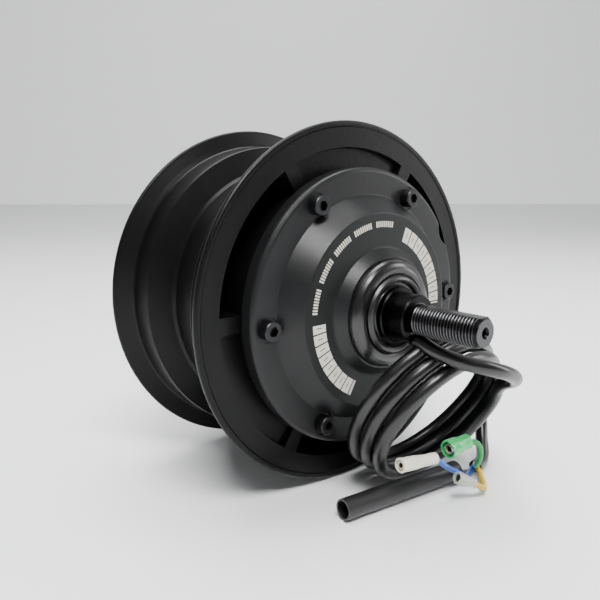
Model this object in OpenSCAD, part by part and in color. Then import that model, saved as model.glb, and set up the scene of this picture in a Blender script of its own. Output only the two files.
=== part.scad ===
// Hub motor wheel: a cast rim with a brushless motor in its drum, on a fixed threaded axle.
// The wheel's centre is the origin, the axle lies along Y, and the cable leaves on the -Y side.

/* [Rim] */
// Outside diameter of the two tyre flanges
flange_d = 170; // [168:1:210]
// Width over the outer faces of the flanges
rim_w = 81.4; // [78:0.2:110]
// Thickness of a flange at its lip
lip_t = 3; // [2:0.1:4]
// Height of the lip's raised edge over the flange face
lip_step = 0.6; // [0.3:0.1:1]
// Diameter of the bead seats at the flanges
bead_d = 152.4; // [152:0.1:160]
// Width of a bead seat
bead_w = 12; // [9:0.5:13]
// Thickness of a flange at its root
flange_root_t = 6.5; // [5:0.1:8]
// Diameter of the drop centre
well_d = 128; // [128:0.5:134]

/* [Windows and webs] */
// Number of webs, and of windows between them
web_count = 3; // [3:1:5]
// Angle that a window spans
window_angle = 55; // [30:1:60]
// Angle that a raised rib at a web's end spans
rib_angle = 6; // [3:0.5:8]
// How far a web's face lies below the flange face
web_drop = 3; // [1:0.5:5]
// Wall between a window and the bead seat
window_wall = 2.6; // [2:0.1:4]
// Depth of a window from the flange face
window_depth = 18; // [12:1:19]

/* [Drum] */
// Outside diameter of the motor drum
drum_d = 124; // [122:1:126]
// Bore of the motor drum
drum_bore_d = 105; // [103:0.5:106]
// How far the drum's ends stand past the flanges
drum_proud = 1.2; // [0.5:0.1:3]

/* [Covers] */
// Outside diameter of the two covers
cover_d = 128.4; // [126:0.2:132]
// Thickness of a cover at its screws
cover_t = 7.4; // [6:0.2:10]
// Thickness of a cover's gasket
gasket_t = 0.5; // [0.3:0.1:1]
// Height of the cable side cover's cone
cone_h = 9.5; // [7:0.5:14]
// Diameter at the foot of the cone
cone_foot_d = 103.8; // [100:0.2:104]
// Diameter at the top of the cone
cone_top_d = 88.8; // [80:0.2:94]
// Depth of the notch that clears the tyre valve
notch_depth = 3.8; // [2:0.2:5]
// Height of the brake side cover's disc face over its screw face
disc_seat_h = 16.2; // [14:0.2:20]
// Diameter of the brake disc seat
disc_seat_d = 55; // [52:1:60]

/* [Screws] */
// Number of screws in a cover
cover_screws = 6; // [4:1:8]
// Circle diameter of the cover screws
screw_pcd = 113; // [112:0.5:114]
// Thread diameter of the cover screws
screw_d = 5; // [4:1:5]
// Length of a cover screw under its head
screw_l = 14; // [12:1:20]
// Circle diameter of the brake disc screws
disc_pcd = 44; // [44:0.5:46]
// Number of brake disc screws
disc_screws = 6; // [3:1:6]

/* [Axle] */
// Length of the axle over its ends
axle_l = 230; // [220:1:280]
// Thread diameter at the axle's ends
thread_d = 14; // [12:1:16]
// Distance across the flats of the axle's ends
flats_w = 12; // [9:0.5:12]
// Diameter of the cable side journal
journal_d = 25; // [25:1:25]
// Diameter of the cable side shoulder
shoulder_d = 21; // [19:0.5:23]
// Diameter of the brake side journal
brake_journal_d = 20; // [20:1:20]
// Diameter of the seat that carries the stator
stator_seat_d = 28; // [27:1:30]

/* [Motor] */
// Number of stator teeth
teeth = 27; // [24:3:30]
// Number of magnets
magnets = 30; // [26:2:32]
// Outside diameter of the stator
stator_d = 91; // [90:0.1:91.4]
// Width of the stator core
stack_w = 45; // [30:1:48]
// Thickness of a magnet
magnet_t = 3; // [2.5:0.1:3.2]
// Thickness of the steel flux ring
flux_t = 3.2; // [3:0.1:3.4]

/* [Cable] */
// Diameter of the motor cable
cable_d = 6.5; // [6:0.1:6.8]

/* [Hidden] */
$fn = 96;

// Running clearance, close fit and screw clearance
fit_gap = 0.02;
hole_gap = 0.25;

// The rim, in planes measured from the wheel's middle along the axle
half_w = rim_w / 2;
face_z = half_w - lip_step;
drum_half = half_w + drum_proud;
seat_z = drum_half + gasket_t;
cover_z = seat_z + cover_t;
flange_r = flange_d / 2;
bead_r = bead_d / 2;
well_r = well_d / 2;
drum_r = drum_d / 2;
drum_bore_r = drum_bore_d / 2;
drum_neck = 0.4;
window_r = bead_r - window_wall;
lip_in_r = flange_r - lip_t;
bead_taper = bead_w * tan(5);
web_angle = 360 / web_count - window_angle;
window_turn = 30;
spigot_l = 3.5;
spigot_r = drum_bore_r - 0.2;

// Screw places
screw_turn = 2.3;
spot_r = screw_d + 0.6;
spot_depth = 0.5;

// Bearings: bore, outside and pitch radii, ball radius and count
race_w = 12;
big = [journal_d / 2, 23.5, 18, 3.17, 10];
small = [brake_journal_d / 2, 21, 15.5, 3.17, 9];
big_z = cover_z + 2.7;
small_z = cover_z - 0.8;

// Seal cap and seals
cap_r = 24.2;
cap_z = cover_z + cone_h + 1.1;
seal_r = 17.5;
nose_z = cap_z + 8.3;
disc_z = cover_z + disc_seat_h;
disc_hole_r = 2.1;
disc_turn = 15;
disc_hole_l = 8;
drill_point_l = 1.2;
brake_seal_z = disc_z - 7;

// Axle, from its cable side end inwards
axle_half = axle_l / 2;
thread_r = thread_d / 2;
relief_r = thread_r - 0.9;
relief_l = 1.5;
journal_end = nose_z + 2.8;
shoulder_end = journal_end + 10.2;
stator_half = 26;
seat_r = stator_seat_d / 2;
collar_r = seat_r + 3;
collar_t = 4;
brake_mid_r = seat_r - 1;
key_w = 5;
key_l = 36;
key_depth = 3;
circlip_t = 1.2;

// The way of the cable through the axle
cable_r = cable_d / 2;
cable_hole_r = cable_r + 0.35;
cable_drop = 8;
port_z = 36.6;

// Stator
stator_r = stator_d / 2;
core_bore_r = 34;
slot_floor_r = 37;
tooth_w = 4.2;
tip_w = 8.6;
tip_t = 1.6;
insulator_t = 1.2;
coil_t = 1.8;
coil_in_r = slot_floor_r + 0.8;
coil_out_r = stator_r - tip_t - 0.7;
coil_end = stack_w / 2 + insulator_t + coil_t;
board_z = coil_end + 1.2;
board_t = 1.6;
board_screw_d = 2.5;
flux_r = drum_bore_r - fit_gap;
magnet_r = flux_r - flux_t;
magnet_z = stack_w / 2 + 1;

// The free cable: its lead from the axle to the coil, and its tail from the coil to the floor
lead_route = [
    [0, -77, -8.2], [0, -83.5, -9.9], [1.5, -90.5, -12.9], [8, -99.5, -16.6], [19, -106.5, -20],
    [31.5, -107, -24.5], [43, -102.5, -30.5], [49.5, -94, -36.5]
];
tail_route = [
    [55, -74, -26], [63, -69.5, -33], [69, -66.5, -42], [72, -65.5, -53], [71, -67, -64], [66, -71.5, -74],
    [58, -78, -81], [48, -81, -81.7]
];
// The coil's turns lie in slanted planes: the front turn's centre and radius, the step and
// growth from a turn to the next, the planes' slant, and how many turns there are
coil_centre = [20, -82.5, -52.2];
coil_turn_r = 34;
coil_step = 6.7;
coil_growth = 2;
coil_slant = 60;
coil_turns = 3;

// What the cable ends in: the sleeve's two ends, then each lead's route to its connector
sleeve_r = 4.75;
sleeve_ends = [[-34, -72.5, -80.2], [34, -79.5, -80.2]];
lead_d = 2.6;
blue_route = [
    [47.6, -79.7, -82.5], [41, -82.5, -82.6], [33, -86, -80.5], [25, -87, -75.5], [17, -87, -70.5],
    [12, -88, -67], [7, -88, -63]
];
green_route = [
    [48, -81, -80.1], [42, -85, -78], [37, -89.5, -74], [34, -93, -67], [31, -93, -61], [26, -91, -59]
];
yellow_route = [
    [48.4, -82.3, -82.5], [44, -87, -83.2], [39, -92, -83.4], [34, -96, -82.5], [29, -98, -80], [24, -97, -77]
];
sensor_route = [
    [47.5, -80.6, -83], [43, -80.2, -83.4], [38, -79.8, -82], [33, -79.4, -80.2], [26, -78.7, -80.2]
];
cream_ends = [[7, -88, -63], [-14, -86, -61]];
green_ends = [[26, -91, -59], [13, -90, -60]];
clear_ends = [[24, -97, -77], [15.5, -94, -72.5]];

// Turns a shape drawn along +Z so that it points out along the cable side of the axle.
module on_axle() {
    rotate([90, 0, 0]) children();
}

// The same for the brake side.
module on_axle_back() {
    rotate([90, 0, 0]) mirror([0, 0, 1]) children();
}

// A ring of revolution between two radii and two planes.
module ring(r_in, r_out, z0, z1) {
    translate([0, 0, z0]) difference() {
        cylinder(r = r_out, h = z1 - z0);
        translate([0, 0, -1]) cylinder(r = r_in, h = z1 - z0 + 2);
    }
}

// Copies spread evenly on a circle.
module around(n, r, turn = 0) {
    for (i = [0 : n - 1]) rotate([0, 0, turn + i * 360 / n]) translate([r, 0, 0]) children();
}

// A sector of a ring with a rectangular section.
module sector(r_in, r_out, z0, z1, from, span) {
    rotate([0, 0, from]) rotate_extrude(angle = span)
        polygon([[r_in, z0], [r_out, z0], [r_out, z1], [r_in, z1]]);
}

// Points of an arc about a centre, for a profile.
function arc(c, r, a0, a1, n) =
    [for (i = [0 : n]) c + r * [cos(a0 + (a1 - a0) * i / n), sin(a0 + (a1 - a0) * i / n)]];

// ---- Rotor: rim, covers and magnets ----

// The tyre side of the rim, from the flange lip down to the drop centre.
function tyre_side() = concat(
    [[lip_in_r, face_z], [lip_in_r + 0.6, half_w]],
    arc([flange_r - 1.3, half_w - 1.3], 1.3, 90, 0, 3),
    arc([flange_r - 1.3, half_w - lip_t + 1.3], 1.3, 0, -90, 3),
    [[bead_r + 2.4, half_w - flange_root_t + 1.4], [bead_r + 0.5, half_w - flange_root_t + 0.5],
     [bead_r, half_w - flange_root_t - 0.4],
     [bead_r - bead_taper, half_w - flange_root_t - bead_w],
     [bead_r - bead_taper + 0.7, half_w - flange_root_t - bead_w - 1],
     [bead_r - bead_taper + 0.4, half_w - flange_root_t - bead_w - 2],
     [well_r + 1, half_w - flange_root_t - bead_w - 6], [well_r, half_w - flange_root_t - bead_w - 8]]
);

function flipped(points) =
    [for (i = [len(points) - 1 : -1 : 0]) [points[i][0], -points[i][1]]];

module rim_blank() {
    neck_r = drum_r - drum_neck;
    half = concat([[drum_bore_r, drum_half], [neck_r, drum_half], [neck_r, face_z]], tyre_side());
    rotate_extrude() polygon(concat(half, flipped(half)));
}

// What is cut from one face of the rim: the windows, and the shallow step over each web.
module face_cuts() {
    window_floor = face_z - window_depth;
    for (i = [0 : web_count - 1]) rotate([0, 0, window_turn + i * 360 / web_count]) {
        rotate([0, 0, -window_angle / 2]) rotate_extrude(angle = window_angle)
            polygon([[drum_r, window_floor], [window_r - 2, window_floor],
                [window_r, half_w + 1], [drum_r, half_w + 1]]);
        rotate([0, 0, window_angle / 2 + rib_angle])
            rotate_extrude(angle = web_angle - 2 * rib_angle)
            polygon([[drum_r, face_z - web_drop], [window_r - 1, face_z - web_drop],
                [window_r, half_w + 1], [drum_r, half_w + 1]]);
    }
}

module hub_shell() {
    color([0.13, 0.13, 0.14]) on_axle() difference() {
        rim_blank();
        face_cuts();
        mirror([0, 0, 1]) face_cuts();
        for (side = [0, 1]) mirror([0, 0, side])
            around(cover_screws, screw_pcd / 2, screw_turn)
            translate([0, 0, drum_half - screw_l]) cylinder(d = screw_d + 0.1, h = screw_l + 1, $fn = 32);
        // Valve hole, from a window's floor to the drop centre's side
        rotate([0, 0, window_turn]) translate([(drum_r + window_r) / 2, 0, 0])
            cylinder(d = 6.6, h = half_w, $fn = 32);
    }
}

module flux_ring() {
    color([0.45, 0.46, 0.48]) on_axle() ring(magnet_r, flux_r, -magnet_z, magnet_z);
}

module magnets() {
    step = 360 / magnets;
    color([0.7, 0.71, 0.73]) on_axle() for (i = [0 : magnets - 1])
        sector(magnet_r - fit_gap - magnet_t, magnet_r - fit_gap, -magnet_z, magnet_z,
            i * step + 0.4, step - 0.8);
}

module gasket() {
    difference() {
        ring(drum_bore_r, drum_r - drum_neck, drum_half, seat_z);
        around(cover_screws, screw_pcd / 2, screw_turn)
            translate([0, 0, drum_half - 1]) cylinder(d = screw_d + 2 * hole_gap, h = gasket_t + 2, $fn = 32);
    }
}

module cable_side_gasket() {
    color([0.2, 0.2, 0.2]) on_axle() gasket();
}

module brake_side_gasket() {
    color([0.2, 0.2, 0.2]) on_axle_back() gasket();
}

// The outer edge of a cover, from its screw face round to the spigot in the drum.
function cover_edge() = concat(
    [[cone_foot_d / 2, cover_z + 0.1], [cone_foot_d / 2 + 0.5, cover_z]],
    arc([cover_d / 2 - 2.2, cover_z - 2.2], 2.2, 90, 0, 4),
    [[cover_d / 2, seat_z], [spigot_r, seat_z], [spigot_r, seat_z - spigot_l],
     [spigot_r - 3, seat_z - spigot_l], [spigot_r - 3, seat_z + 1.2]]
);

// Screw holes and spot faces, and the notch that clears the tyre valve.
module cover_cuts() {
    around(cover_screws, screw_pcd / 2, screw_turn) {
        translate([0, 0, seat_z - 1]) cylinder(d = screw_d + 2 * hole_gap, h = cover_t + 2, $fn = 32);
        translate([0, 0, cover_z - spot_depth]) cylinder(r = spot_r, h = 4, $fn = 48);
    }
    rotate([0, 0, window_turn]) translate([cover_d / 2 + 9 - notch_depth, 0, seat_z - 1])
        cylinder(r = 9, h = cover_t + 2, $fn = 64);
}

module cable_side_cover() {
    top = cover_z + cone_h;
    profile = concat(
        [[cap_r + 0.2, cap_z], [cap_r + 0.2, cap_z + 3.8], [cap_r + 1, cap_z + 3.8],
         [28.8, top + 0.9], [29.6, top + 0.5], [cone_top_d / 2 - 0.6, top], [cone_top_d / 2, top - 0.3]],
        cover_edge(),
        [[cone_foot_d / 2 - 4, cover_z - 5.6], [cone_top_d / 2 - 4, top - 6], [28.5, top - 6],
         [28.5, big_z - race_w / 2 + 5.5], [big[1] + 3, big_z - race_w / 2 - 0.5],
         [big[1] + fit_gap, big_z - race_w / 2 - 0.5],
         [big[1] + fit_gap, big_z + race_w / 2], [19, big_z + race_w / 2], [19, cap_z]]
    );
    color([0.14, 0.14, 0.15]) on_axle() difference() {
        rotate_extrude() polygon(profile);
        cover_cuts();
    }
}

module brake_side_cover() {
    profile = concat(
        [[seal_r, brake_seal_z], [seal_r, disc_z], [disc_seat_d / 2 - 0.5, disc_z],
         [disc_seat_d / 2, disc_z - 0.5], [disc_seat_d / 2, cover_z + 9.8], [disc_seat_d / 2 + 1.5, cover_z + 8.8],
         [cone_top_d / 2 - 5, cover_z + 8.2]],
        cover_edge(),
        [[cone_foot_d / 2 - 4, cover_z - 5.6], [36, cover_z + 1], [28, cover_z + 1],
         [27, small_z - race_w / 2 - 0.2], [small[1] + fit_gap, small_z - race_w / 2 - 0.2],
         [small[1] + fit_gap, small_z + race_w / 2], [15.5, small_z + race_w / 2], [15.5, brake_seal_z]]
    );
    color([0.14, 0.14, 0.15]) on_axle_back() difference() {
        rotate_extrude() polygon(profile);
        cover_cuts();
        around(disc_screws, disc_pcd / 2, disc_turn) translate([0, 0, disc_z - disc_hole_l]) {
            cylinder(r = disc_hole_r, h = disc_hole_l + 1, $fn = 32);
            translate([0, 0, -drill_point_l])
                cylinder(r1 = 0.05, r2 = disc_hole_r, h = drill_point_l, $fn = 32);
        }
    }
}

// A socket cap screw with its head's seat at z = 0.
module cap_screw(d, l, drive) {
    difference() {
        union() {
            translate([0, 0, -l]) cylinder(d = d, h = l, $fn = 32);
            cylinder(r = 0.85 * d, h = d - 0.4, $fn = 48);
            translate([0, 0, d - 0.4]) cylinder(r1 = 0.85 * d, r2 = 0.85 * d - 0.4, h = 0.4, $fn = 48);
        }
        translate([0, 0, d / 2]) cylinder(d = drive / cos(30), h = d, $fn = 6);
    }
}

module cover_screw_ring() {
    around(cover_screws, screw_pcd / 2, screw_turn)
        translate([0, 0, cover_z - spot_depth]) cap_screw(screw_d, screw_l, 0.8 * screw_d);
}

module cable_side_cover_screws() {
    color([0.3, 0.3, 0.31]) on_axle() cover_screw_ring();
}

module brake_side_cover_screws() {
    color([0.3, 0.3, 0.31]) on_axle_back() cover_screw_ring();
}

module cable_side_seal_cap() {
    color([0.08, 0.08, 0.09]) on_axle() rotate_extrude() polygon(concat(
        [[seal_r, cap_z + 1.5], [15.2, cap_z + 1.5], [15.2, cap_z], [cap_r, cap_z]],
        arc([cap_r - 4.2, nose_z - 4.2], 4.2, 0, 90, 5),
        [[seal_r + 1, nose_z], [seal_r, nose_z - 0.6]]
    ));
}

// Section of a rotary shaft seal: its case, a raised outer bead and a sprung lip.
module oil_seal(r_shaft, r_case, z0, proud) {
    z1 = z0 + 7;
    lip = r_shaft + 0.06;
    rotate_extrude() polygon([
        [lip + 1.2, z0], [r_case - fit_gap, z0], [r_case - fit_gap, z1], [r_case - 0.8, z1 + proud],
        [r_case - 1.8, z1 + proud + 0.4], [r_case - 2.6, z1 + proud], [r_case - 3.4, z1 - 0.6],
        [lip + 0.6, z1 - 0.8], [lip, z1 - 0.2], [lip, z1 - 1.2], [lip + 1.2, z1 - 2], [lip + 1.2, z0 + 2],
        [lip, z0 + 1.4], [lip, z0 + 0.8]
    ]);
}

module cable_side_oil_seal() {
    color([0.05, 0.05, 0.05]) on_axle() oil_seal(big[0], seal_r, cap_z + 1.5, 1);
}

module brake_side_oil_seal() {
    color([0.05, 0.05, 0.05]) on_axle_back() oil_seal(small[0], seal_r, brake_seal_z, -0.6);
}

// ---- Bearings ----

module outer_race(b, z) {
    translate([0, 0, z]) rotate_extrude() difference() {
        translate([b[2] + 2.1, -race_w / 2]) square([b[1] - b[2] - 2.1, race_w]);
        translate([b[2], 0]) circle(r = b[3] + 0.05, $fn = 48);
    }
}

module inner_race(b, z) {
    translate([0, 0, z]) rotate_extrude() difference() {
        translate([b[0] + fit_gap, -race_w / 2]) square([b[2] - 2.1 - b[0] - fit_gap, race_w]);
        translate([b[2], 0]) circle(r = b[3] + 0.05, $fn = 48);
    }
}

module shields(b, z) {
    for (side = [-1, 1]) translate([0, 0, z + side * 5.3])
        ring(b[2] - 1.9, b[2] + 2.1, -0.3, 0.3);
}

module balls(b, z) {
    around(b[4], b[2]) translate([0, 0, z]) sphere(r = b[3], $fn = 32);
}

module cage(b, z) {
    difference() {
        ring(b[2] - 0.8, b[2] + 0.8, z - 4.2, z + 4.2);
        around(b[4], b[2]) translate([0, 0, z]) rotate([0, 90, 0])
            cylinder(r = b[3] + 0.12, h = 4, center = true, $fn = 32);
    }
}

module cable_side_bearing_outer_race() {
    color([0.75, 0.75, 0.77]) on_axle() outer_race(big, big_z);
}

module cable_side_bearing_inner_race() {
    color([0.75, 0.75, 0.77]) on_axle() inner_race(big, big_z);
}

module cable_side_bearing_shields() {
    color([0.1, 0.1, 0.1]) on_axle() shields(big, big_z);
}

module cable_side_bearing_balls() {
    color([0.85, 0.85, 0.87]) on_axle() balls(big, big_z);
}

module cable_side_bearing_cage() {
    color([0.72, 0.6, 0.35]) on_axle() cage(big, big_z);
}

module brake_side_bearing_outer_race() {
    color([0.75, 0.75, 0.77]) on_axle_back() outer_race(small, small_z);
}

module brake_side_bearing_inner_race() {
    color([0.75, 0.75, 0.77]) on_axle_back() inner_race(small, small_z);
}

module brake_side_bearing_shields() {
    color([0.1, 0.1, 0.1]) on_axle_back() shields(small, small_z);
}

module brake_side_bearing_balls() {
    color([0.85, 0.85, 0.87]) on_axle_back() balls(small, small_z);
}

module brake_side_bearing_cage() {
    color([0.72, 0.6, 0.35]) on_axle_back() cage(small, small_z);
}

// ---- Axle and stator ----

// One threaded end, from its relief groove to its chamfered tip, with two flats.
module threaded_end(from) {
    chamfer = 1.2;
    l = axle_half - from;
    translate([0, 0, from]) difference() {
        union() {
            cylinder(r = relief_r, h = relief_l);
            translate([0, 0, relief_l]) cylinder(r = thread_r, h = l - relief_l - chamfer);
            translate([0, 0, l - chamfer]) cylinder(r1 = thread_r, r2 = thread_r - chamfer, h = chamfer);
        }
        for (side = [0, 1]) mirror([0, side, 0])
            translate([-thread_d, flats_w / 2, relief_l]) cube([2 * thread_d, thread_d, l]);
        translate([0, 0, l - 5]) cylinder(r = 1.6, h = 6, $fn = 32);
        translate([0, 0, l - 1]) cylinder(r1 = 1.6, r2 = 2.7, h = 1.1, $fn = 32);
    }
}

// A step of the axle with a small chamfer at its outer end.
module step(r, z0, z1, chamfer = 0.5) {
    translate([0, 0, z0]) cylinder(r = r, h = z1 - z0 - chamfer);
    translate([0, 0, z1 - chamfer]) cylinder(r1 = r, r2 = r - chamfer, h = chamfer);
}

module axle() {
    back_end = disc_z + 6;
    color([0.16, 0.16, 0.17]) on_axle() difference() {
        union() {
            step(seat_r, -stator_half, stator_half);
            step(journal_d / 2, stator_half, journal_end);
            step(shoulder_d / 2, journal_end, shoulder_end, 0.7);
            threaded_end(shoulder_end);
            mirror([0, 0, 1]) {
                step(collar_r, stator_half, stator_half + collar_t);
                step(brake_mid_r, stator_half + collar_t, small_z - race_w / 2);
                step(small[0], small_z - race_w / 2, back_end, 0.7);
                threaded_end(back_end);
            }
        }
        // Channel for the cable, open under the shoulder and the start of the thread
        translate([0, -cable_drop, port_z - cable_hole_r])
            cylinder(r = cable_hole_r, h = shoulder_end + 8 - port_z + cable_hole_r, $fn = 48);
        translate([0, -cable_drop, port_z]) rotate([90, 0, 0])
            cylinder(r = cable_hole_r, h = journal_d, $fn = 48);
        // Keyway in the stator seat
        translate([-key_w / 2, seat_r - key_depth, -key_l / 2]) cube([key_w, key_depth + 1, key_l]);
        // Circlip grooves
        ring(journal_d / 2 - 0.6, journal_d, big_z + race_w / 2 + fit_gap, big_z + race_w / 2 + circlip_t);
        mirror([0, 0, 1])
            ring(small[0] - 0.5, 2 * small[0], small_z + race_w / 2 + fit_gap, small_z + race_w / 2 + circlip_t);
    }
}

module axle_key() {
    color([0.6, 0.6, 0.62]) on_axle()
        translate([-key_w / 2, seat_r - key_depth, -key_l / 2]) cube([key_w, key_w, key_l]);
}

// An external circlip: an open ring in the axle's groove.
module circlip(r_groove, z) {
    difference() {
        ring(r_groove, r_groove + 2.4, z + fit_gap, z + circlip_t);
        translate([0, -2, z - 1]) cube([r_groove + 4, 4, circlip_t + 2]);
    }
}

module cable_side_circlip() {
    color([0.4, 0.4, 0.42]) on_axle() circlip(journal_d / 2 - 0.6, big_z + race_w / 2);
}

module brake_side_circlip() {
    color([0.4, 0.4, 0.42]) on_axle_back() circlip(small[0] - 0.5, small_z + race_w / 2);
}

module cable_side_spacer() {
    color([0.6, 0.6, 0.62]) on_axle() difference() {
        ring(journal_d / 2 + fit_gap, journal_d / 2 + 3.2, stator_half, big_z - race_w / 2);
        translate([0, -cable_drop, port_z]) rotate([90, 0, 0])
            cylinder(r = cable_hole_r + 0.4, h = journal_d, $fn = 48);
    }
}

// Places of the two posts that hold the sensor board.
module board_posts() {
    for (a = [60, 120]) rotate([0, 0, a]) translate([core_bore_r - 5.5, 0, 0]) children();
}

module stator_carrier() {
    color([0.65, 0.66, 0.68]) on_axle() difference() {
        union() {
            ring(seat_r + fit_gap, seat_r + 6, -stator_half + collar_t / 4, stator_half);
            ring(core_bore_r - 3.5, core_bore_r - fit_gap, -stack_w / 2, stack_w / 2);
            for (i = [0 : 5]) rotate([0, 0, 30 + i * 60])
                translate([seat_r + 4, -2.5, -stack_w / 3])
                cube([core_bore_r - seat_r - 6, 5, stack_w * 2 / 3]);
            board_posts() translate([0, 0, -stack_w / 3]) cylinder(r = 3, h = board_z + stack_w / 3, $fn = 32);
        }
        translate([-key_w / 2, seat_r - 1, -stator_half])
            cube([key_w, key_w - key_depth + 1, 2 * stator_half + 1]);
        board_posts() translate([0, 0, board_z - 8]) cylinder(d = board_screw_d + 0.1, h = 9, $fn = 24);
    }
}

function turned(p, a) = [p[0] * cos(a) - p[1] * sin(a), p[0] * sin(a) + p[1] * cos(a)];

// The slot between two teeth, narrow at its mouth.
module slot() {
    half = 180 / teeth;
    side = [
        turned([slot_floor_r, tooth_w / 2], -half), turned([stator_r - tip_t, tooth_w / 2], -half),
        turned([stator_r - tip_t, tip_w / 2], -half), turned([stator_r + 1, tip_w / 2], -half)
    ];
    other = [for (i = [3 : -1 : 0]) [side[i][0], -side[i][1]]];
    translate([0, 0, -stack_w / 2 - 1]) linear_extrude(stack_w + 2) polygon(concat(side, other));
}

module stator_core() {
    color([0.5, 0.5, 0.52]) on_axle() difference() {
        ring(core_bore_r, stator_r, -stack_w / 2, stack_w / 2);
        for (i = [0 : teeth - 1]) rotate([0, 0, (i + 0.5) * 360 / teeth]) slot();
    }
}

// The insulating spider on one face of the core.
module insulator() {
    z = stack_w / 2;
    ring(core_bore_r + 0.5, slot_floor_r + 0.4, z, z + insulator_t);
    for (i = [0 : teeth - 1]) rotate([0, 0, i * 360 / teeth]) {
        translate([slot_floor_r, -tooth_w / 2, z]) cube([stator_r - 0.5 - slot_floor_r, tooth_w, insulator_t]);
        translate([coil_out_r + 0.2, -tip_w / 2 + 0.4, z]) cube([1, tip_w - 0.8, insulator_t + coil_t * 0.8]);
    }
}

module cable_side_insulator() {
    color([0.85, 0.82, 0.72]) on_axle() insulator();
}

module brake_side_insulator() {
    color([0.85, 0.82, 0.72]) on_axle_back() insulator();
}

// One coil, wound round a tooth and its insulators.
module coil() {
    in_l = stack_w / 2 + insulator_t;
    difference() {
        translate([coil_in_r, -tooth_w / 2 - coil_t, -in_l])
            cube([coil_out_r - coil_in_r, tooth_w + 2 * coil_t, 2 * in_l]);
        translate([coil_in_r - 1, -tooth_w / 2, -in_l - 1])
            cube([coil_out_r - coil_in_r + 2, tooth_w, 2 * in_l + 2]);
    }
    for (side = [-1, 1]) intersection() {
        translate([coil_in_r, 0, side * in_l]) rotate([0, 90, 0])
            cylinder(r = tooth_w / 2 + coil_t, h = coil_out_r - coil_in_r, $fn = 48);
        translate([coil_in_r, -tooth_w / 2 - coil_t, side > 0 ? in_l : -in_l - coil_t])
            cube([coil_out_r - coil_in_r, tooth_w + 2 * coil_t, coil_t]);
    }
}

module stator_coils() {
    color([0.72, 0.38, 0.15]) on_axle()
        for (i = [0 : teeth - 1]) rotate([0, 0, i * 360 / teeth]) coil();
}

module hall_board() {
    color([0.1, 0.35, 0.2]) on_axle() difference() {
        sector(core_bore_r - 9, stator_r - 1, board_z, board_z + board_t, 50, 80);
        board_posts() translate([0, 0, board_z - 1]) cylinder(d = board_screw_d + 2 * hole_gap, h = 4, $fn = 24);
    }
}

// The sensors hang from the board into the slots' mouths.
module hall_sensors() {
    slot = 360 / teeth;
    color([0.06, 0.06, 0.06]) on_axle() for (i = [4, 6, 8]) rotate([0, 0, (i + 0.5) * slot])
        translate([stator_r - 2.6, -0.6, board_z - 8]) cube([1.4, 1.2, 8]);
}

module hall_board_screws() {
    color([0.6, 0.6, 0.62]) on_axle() board_posts()
        translate([0, 0, board_z + board_t]) cap_screw(board_screw_d, 6, 1.8);
}

// ---- Cable ----

// The stretch of the cable inside the axle, from the winding to where it leaves the axle.
module inner_cable() {
    start_y = -18;
    color([0.07, 0.07, 0.07]) on_axle() {
        translate([0, start_y, port_z]) rotate([-90, 0, 0])
            cylinder(r = cable_r, h = -start_y - cable_drop, $fn = 48);
        translate([0, -cable_drop, port_z]) sphere(r = cable_r, $fn = 48);
        translate([0, -cable_drop, port_z]) cylinder(r = cable_r, h = -lead_route[0][1] - port_z, $fn = 48);
    }
}

// Three leads that fan out from the inner cable to the coils.
module inner_phase_leads() {
    color([0.8, 0.7, 0.2]) on_axle() for (a = [-118, -90, -62]) {
        reach = coil_in_r + 1;
        start = [cos(a) * 4, -20.5 + sin(a) * 1.5, port_z];
        hull() {
            translate(start) sphere(d = lead_d, $fn = 16);
            translate([reach * cos(a), reach * sin(a), port_z]) sphere(d = lead_d, $fn = 16);
        }
        translate([reach * cos(a), reach * sin(a), coil_end]) cylinder(d = lead_d, h = port_z - coil_end, $fn = 24);
    }
}

function unit(v) = v / norm(v);

// A point of a smooth curve through a route, at step i + t.
function route_at(p, i, t) =
    let (n = len(p) - 1,
        a = p[max(i - 1, 0)], b = p[i], c = p[min(i + 1, n)], d = p[min(i + 2, n)],
        m0 = i == 0 ? c - b : (c - a) / 2, m1 = i + 1 >= n ? c - b : (d - b) / 2)
    (2 * t ^ 3 - 3 * t ^ 2 + 1) * b + (t ^ 3 - 2 * t ^ 2 + t) * m0
        + (3 * t ^ 2 - 2 * t ^ 3) * c + (t ^ 3 - t ^ 2) * m1;

// A tube of eight sides along a route, with so many rings to each of its steps.
module tube(route, r, rings) {
    sides = 8;
    steps = len(route) - 1;
    last = steps * rings;
    line = [for (i = [0 : last])
        route_at(route, min(floor(i / rings), steps - 1), i == last ? 1 : i % rings / rings)];
    ways = [for (i = [0 : last]) unit(line[min(i + 1, last)] - line[max(i - 1, 0)])];
    up = [0.31, 0.17, 0.93];
    points = [for (i = [0 : last]) for (k = [0 : sides - 1])
        let (u = unit(cross(up, ways[i])), v = cross(ways[i], u), a = (k + 0.5) * 360 / sides)
        line[i] + r * (cos(a) * u + sin(a) * v)];
    walls = [for (i = [0 : last - 1]) for (k = [0 : sides - 1])
        let (j = (k + 1) % sides, b = i * sides) for (f = [0, 1])
        f == 0 ? [b + k, b + sides + k, b + j] : [b + j, b + sides + k, b + sides + j]];
    start = [[for (k = [0 : sides - 1]) k]];
    end = [[for (k = [sides - 1 : -1 : 0]) last * sides + k]];
    polyhedron(points, concat(start, walls, end));
}

module motor_cable() {
    color([0.07, 0.07, 0.07]) tube(lead_route, cable_r, 2);
}

// The outer shape of the coiled turns.
module motor_cable_coil() {
    depth = (coil_turns - 1) * coil_step;
    back_r = coil_turn_r + coil_growth * (coil_turns - 1);
    color([0.07, 0.07, 0.07])
        translate(coil_centre) rotate([180 - coil_slant, 0, 0]) rotate_extrude() polygon(concat(
            arc([coil_turn_r, 0], cable_r, 0, 180, 6),
            arc([back_r, -depth], cable_r, 180, 360, 6)
        ));
}

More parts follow.
